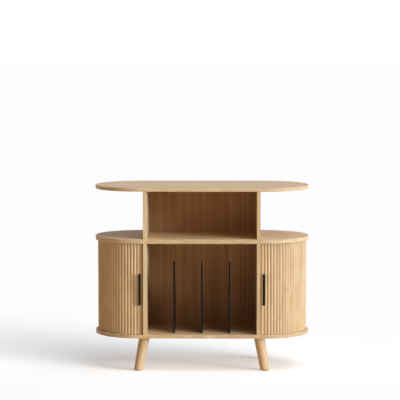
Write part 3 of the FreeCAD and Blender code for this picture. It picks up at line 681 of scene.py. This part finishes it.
def woven_cotton(name):
    """Plain weave along the sheet's own width and height, with slubs and uneven threads."""
    finish, tree, shader = new_finish(name)
    flat = add(tree, "UVMap", {"uv_map": "cloth"}).outputs[0]
    split = add(tree, "SeparateXYZ", Vector=flat)
    across, up = split.outputs["X"], split.outputs["Y"]
    slub = noise(tree, stretched(tree, (across, up, up), (70.0, 70.0, 0.0)), 3.0, 0.6)
    uneven = reckon(tree, "MULTIPLY", slub, 3.0)
    warp = reckon(tree, "SINE", reckon(tree, "MULTIPLY_ADD", across, math.tau / THREAD, uneven))
    weft = reckon(tree, "SINE", reckon(tree, "MULTIPLY_ADD", up, math.tau / THREAD, uneven))
    height = reckon(tree, "MULTIPLY_ADD", reckon(tree, "MULTIPLY", warp, weft), 0.5, 0.5)
    thread = noise(tree, stretched(tree, (across, up, up), (900.0, 60.0, 0.0)), 2.0)
    share = reckon(tree, "MULTIPLY_ADD", thread, 0.3, reckon(tree, "MULTIPLY", slub, 0.25))
    share = reckon(tree, "MULTIPLY_ADD", height, 0.45, share)
    base_colour(tree, shader, share, COTTON_DARK, COTTON_LIGHT)
    shader.inputs["Roughness"].default_value = 0.9
    shader.inputs["Sheen Weight"].default_value = 0.2
    relief(tree, shader, height, 0.6, 0.00025)
    return finish


cotton = woven_cotton("cotton_canvas")
first, last = math.radians(CANVAS_START_DEG), math.radians(CANVAS_END_DEG)
for side, way in (("left", -1.0), ("right", 1.0)):
    shape = bmesh.new()
    hem_x = way * (END_CENTRE_X + CANVAS_R * math.sin(first))
    hem_y = -CANVAS_R * math.cos(first)
    hem_ends = [shape.verts.new((hem_x, hem_y, height)) for height in (CANVAS_LOW_Z, CANVAS_HIGH_Z)]
    hem = shape.edges.new(hem_ends)
    bmesh.ops.subdivide_edges(shape, edges=[hem], cuts=11)
    bmesh.ops.spin(shape, geom=shape.verts[:] + shape.edges[:], cent=(way * END_CENTRE_X, 0.0, 0.0),
                   axis=(0, 0, 1), angle=way * (last - first), steps=96)
    cloth_map = shape.loops.layers.uv.new("cloth")
    for face in shape.faces:
        for corner in face.loops:
            point = corner.vert.co
            bend = math.atan2(way * point.x - END_CENTRE_X, -point.y)
            corner[cloth_map].uv = (bend * CANVAS_R, point.z)
    canvas = made_piece(shape, side + "_canvas_sheet", cotton)
    thicken = canvas.modifiers.new("cloth thickness", "SOLIDIFY")
    thicken.thickness = CANVAS_T
    thicken.offset = 0.0
    smooth_faces(canvas, 60.0)
    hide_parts(side + "_door_canvas")
    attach(canvas, side + "_door")


# ---- dowels --------------------------------------------------------------------------------
# Plain beech pins glued into blind holes between the boards. They are hidden once the cabinet
# is put together.
BEECH_DARK = (196, 156, 116)
BEECH_LIGHT = (226, 194, 158)


def beech(name):
    """Bare beech: fine flecks and a slow change of tone along the grain."""
    finish, tree, shader = new_finish(name)
    place = axes(tree, "ZXY")
    fleck = noise(tree, stretched(tree, place, (260.0, 1100.0, 1100.0)), 2.0)
    broad = noise(tree, stretched(tree, place, (9.0, 140.0, 140.0)), 2.0)
    share = reckon(tree, "MULTIPLY_ADD", fleck, 0.5, reckon(tree, "MULTIPLY", broad, 0.5))
    base_colour(tree, shader, share, BEECH_DARK, BEECH_LIGHT)
    shader.inputs["Roughness"].default_value = 0.6
    relief(tree, shader, share, 0.3, 0.0001)
    return finish


finish_node("dowels", beech("beech"))


# ---- floor, backdrop and lamps -----------------------------------------------------------------
# A wide pale floor under a white world. The floor and the world shine white only for the camera
# and in reflections, so that the light on the cabinet comes from the lamps and a warm, dim sky.
FLOOR_HALF = 60.0
FLOOR_COLOUR = (0.86, 0.86, 0.86, 1.0)
FLOOR_BOUNCE = (0.97, 0.76, 0.46, 1.0)
FLOOR_GLOW = 0.36
SKY = (0.066, 0.054, 0.043, 1.0)
WHITE = (1.0, 1.0, 1.0, 1.0)


def seen_directly(tree):
    """1 for what the camera sees, itself or in a reflection, and 0 for what only gives light."""
    rays = add(tree, "LightPath")
    seen = reckon(tree, "MAXIMUM", rays.outputs["Is Camera Ray"], rays.outputs["Is Glossy Ray"])
    return reckon(tree, "MAXIMUM", seen, rays.outputs["Is Transmission Ray"])


shape = bmesh.new()
bmesh.ops.create_grid(shape, x_segments=1, y_segments=1, size=FLOOR_HALF)
floor_mesh = bpy.data.meshes.new("floor")
shape.to_mesh(floor_mesh)
shape.free()
floor = bpy.data.objects.new("floor", floor_mesh)
bpy.context.scene.collection.objects.link(floor)
finish, tree, shader = new_finish("pale_floor")
tree.nodes.remove(shader)
seen = seen_directly(tree)
matte = add(tree, "BsdfDiffuse", Color=blend_colours(tree, seen, FLOOR_BOUNCE, FLOOR_COLOUR))
glow = add(tree, "Emission", Color=WHITE, Strength=reckon(tree, "MULTIPLY", seen, FLOOR_GLOW))
both = tree.nodes.new("ShaderNodeAddShader")
tree.links.new(matte.outputs[0], both.inputs[0])
tree.links.new(glow.outputs[0], both.inputs[1])
tree.links.new(both.outputs[0], tree.nodes["Material Output"].inputs["Surface"])
floor_mesh.materials.append(finish)

world = bpy.data.worlds.new("studio")
bpy.context.scene.world = world
world.use_nodes = True
tree = world.node_tree
sky_colour = blend_colours(tree, seen_directly(tree), SKY, WHITE)
plug(tree, tree.nodes["Background"].inputs["Color"], sky_colour)

# Each lamp: its way round from the front and its height, in degrees, its width in the sky, in
# degrees, its strength, and its tint as red, green and blue.
SUNS = (
    ("low_key", 60.0, 6.0, 20.0, 2.16, (0.77, 1.05, 1.31)),
    ("key", 50.0, 16.0, 18.0, 0.76, (0.86, 1.02, 1.05)),
    ("soft_key", 45.0, 36.0, 45.0, 1.02, (1.10, 0.97, 0.80)),
    ("overhead", 55.0, 72.0, 36.0, 0.92, (1.0, 1.02, 1.15)),
    ("rear_right_fill", 130.0, 12.0, 40.0, 0.4, (0.85, 1.0, 1.2)),
    ("rear_left_fill", -140.0, 12.0, 40.0, 0.4, (1.0, 0.95, 0.80)),
)
for lamp_name, azimuth, elevation, softness, strength, tint in SUNS:
    lamp = bpy.data.lights.new(lamp_name, "SUN")
    lamp.energy = strength
    lamp.color = tint
    lamp.angle = math.radians(softness)
    sun = bpy.data.objects.new(lamp_name, lamp)
    bpy.context.scene.collection.objects.link(sun)
    turn, lift = math.radians(azimuth), math.radians(elevation)
    level = math.cos(lift)
    towards = Vector((math.sin(turn) * level, -math.cos(turn) * level, math.sin(lift)))
    sun.rotation_euler = towards.to_track_quat("Z", "Y").to_euler()


# ---- camera ------------------------------------------------------------------------------------
# A long lens, twelve metres away and a little above the cabinet. It is tipped down, and turned
# a little to the left.
SENSOR_W = 36.0
LENS = 192.07
CAMERA_PLACE = (0.0856, -11.9716, 2.0252)
CAMERA_PITCH = 5.198
CAMERA_YAW = 0.465
CAMERA_REACH = 300.0
camera_data = bpy.data.cameras.new("camera")
camera_data.sensor_width = SENSOR_W
camera_data.lens = LENS
camera_data.clip_end = CAMERA_REACH
camera = bpy.data.objects.new("camera", camera_data)
camera.location = CAMERA_PLACE
camera.rotation_euler = (math.radians(90.0 - CAMERA_PITCH), 0.0, math.radians(CAMERA_YAW))
bpy.context.scene.collection.objects.link(camera)
bpy.context.scene.camera = camera
bpy.context.scene.view_settings.view_transform = "Standard"
